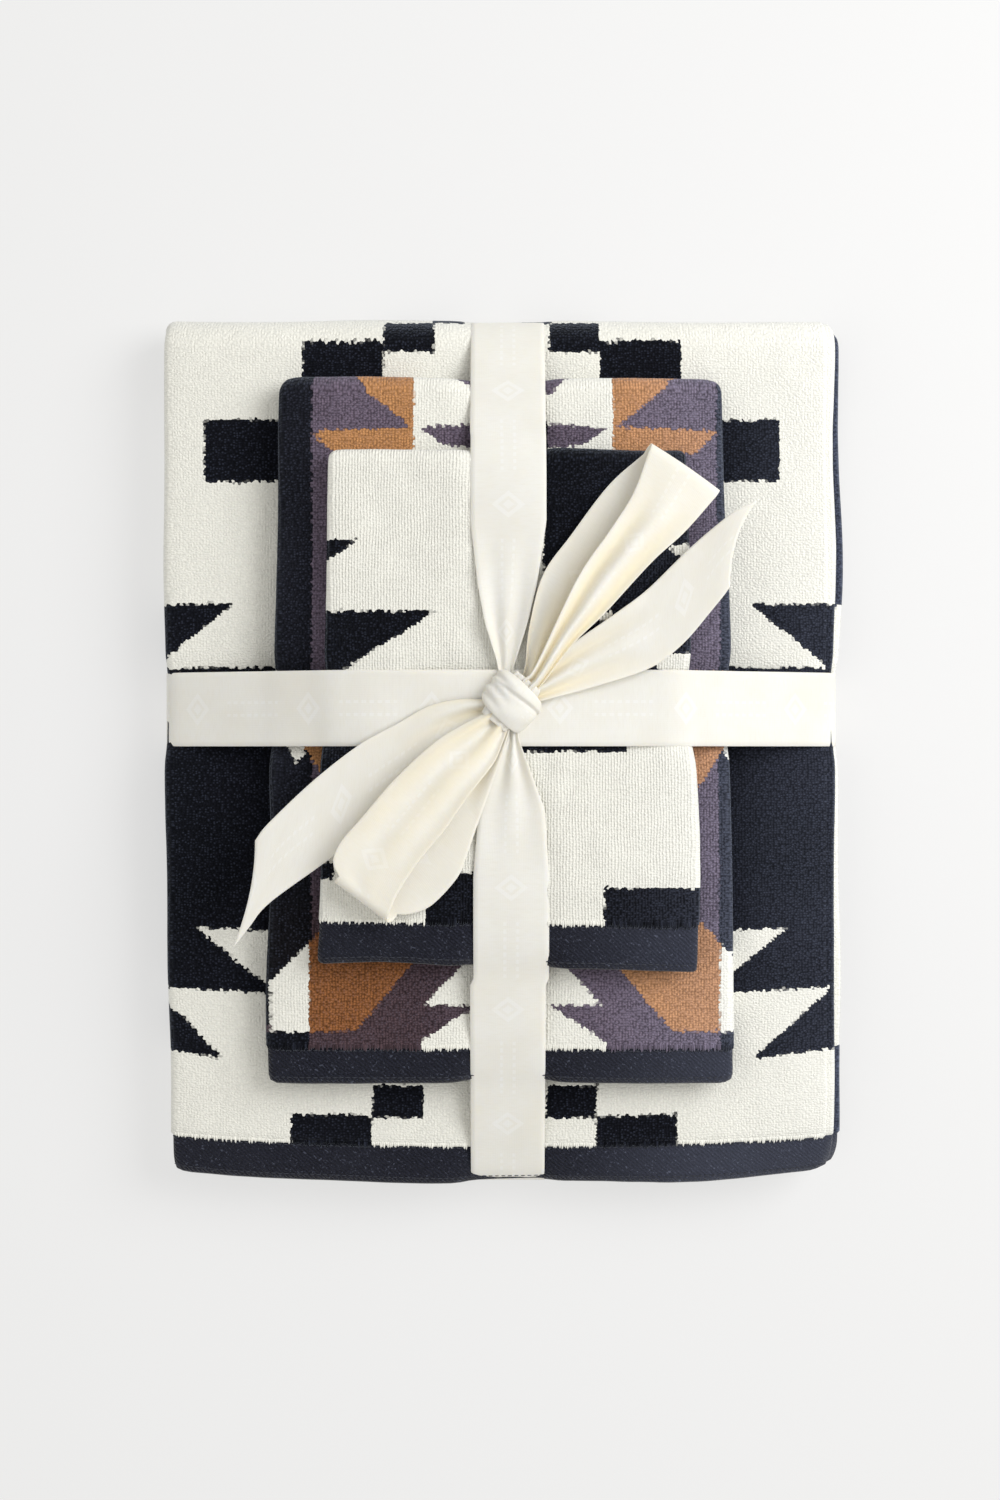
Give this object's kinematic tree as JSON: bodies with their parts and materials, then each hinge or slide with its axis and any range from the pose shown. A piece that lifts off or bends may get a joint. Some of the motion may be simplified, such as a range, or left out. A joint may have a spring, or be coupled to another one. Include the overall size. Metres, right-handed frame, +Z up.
{
  "type": "bath towel set",
  "caption": "Folded bath towel, hand towel and washcloth, stacked and tied both ways with a wide satin ribbon and a bow.",
  "frame": {"origin": "middle of the stack's footprint, on the surface it lies on", "axes": "+Y from the hem ends towards the folded ends, +X across the stack to the open side of the bath towel, +Z up through the layers"},
  "size_m": [0.3536, 0.4536, 0.0857],
  "materials": {
    "bath_towel_pile": "matte",
    "hand_towel_pile": "matte",
    "washcloth_pile": "matte",
    "hem_weave": "matte",
    "hem_thread": "matte",
    "label_tape": "matte",
    "satin_ribbon": "satin"
  },
  "bodies": {
    "tied_stack": {"bath_towel_cloth": "bath_towel_pile", "bath_towel_top_hem": "hem_weave", "bath_towel_inner_hem": "hem_weave", "bath_towel_side_hems": "hem_weave", "bath_towel_hem_stitching": "hem_thread", "bath_towel_care_label": "label_tape", "hand_towel_cloth": "hand_towel_pile", "hand_towel_top_hem": "hem_weave", "hand_towel_under_hem": "hem_weave", "hand_towel_hem_stitching": "hem_thread", "hand_towel_care_label": "label_tape", "washcloth_cloth": "washcloth_pile", "washcloth_top_hem": "hem_weave", "washcloth_under_hem": "hem_weave", "washcloth_hem_stitching": "hem_thread", "washcloth_care_label": "label_tape", "ribbon_crosswise_band": "satin_ribbon", "ribbon_lengthwise_band": "satin_ribbon", "ribbon_knot_core": "satin_ribbon", "ribbon_knot_wrap": "satin_ribbon"},
    "loop_upper_right": {"ribbon_loop_upper_right": "satin_ribbon"},
    "loop_lower_left": {"ribbon_loop_lower_left": "satin_ribbon"},
    "tail_upper_right": {"ribbon_tail_upper_right": "satin_ribbon"},
    "tail_lower_left": {"ribbon_tail_lower_left": "satin_ribbon"}
  },
  "joints": [
    {"name": "loop_upper_right_lift", "type": "hinge", "parent": "tied_stack", "child": "loop_upper_right", "pos_m": [0.01279, 0.03266, 0.0736], "axis": [0.7986, -0.6018, 0], "range_deg": [0, 70]},
    {"name": "loop_lower_left_lift", "type": "hinge", "parent": "tied_stack", "child": "loop_lower_left", "pos_m": [-0.00479, 0.00934, 0.0736], "axis": [-0.7986, 0.6018, 0], "range_deg": [0, 70]},
    {"name": "tail_upper_right_swing", "type": "hinge", "parent": "tied_stack", "child": "tail_upper_right", "pos_m": [0.01934, 0.03134, 0.0708], "axis": [0, 0, -1], "range_deg": [-8, 25]},
    {"name": "tail_lower_left_swing", "type": "hinge", "parent": "tied_stack", "child": "tail_lower_left", "pos_m": [-0.01134, 0.01065, 0.0708], "axis": [0, 0, -1], "range_deg": [-8, 25]}
  ]
}
